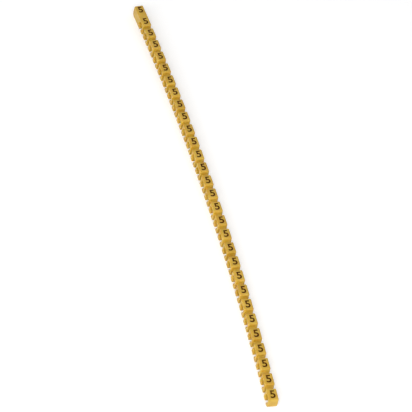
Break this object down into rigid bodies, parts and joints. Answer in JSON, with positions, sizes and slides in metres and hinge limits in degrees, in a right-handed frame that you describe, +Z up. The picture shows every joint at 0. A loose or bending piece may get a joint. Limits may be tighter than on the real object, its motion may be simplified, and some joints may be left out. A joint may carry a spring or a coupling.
{
  "type": "cable marker strip",
  "caption": "Moulded strip of clip-on cable markers: small labelled blocks joined by thin webs, each with a slit round channel that snaps over a wire, and one solid block at the far end.",
  "frame": {"origin": "middle of the strip's bounding box, on the plane that the claw tips stand on", "axes": "+Z up out of the labels, +Y along the strip towards the tops of the characters, +X across the strip, along the wire"},
  "size_m": [0.0046, 0.1222, 0.0032],
  "materials": {
    "yellow_polyamide": "golden yellow moulded polyamide, satin"
  },
  "bodies": {
    "root": {"marker_strip": "yellow_polyamide"}
  },
  "joints": []
}
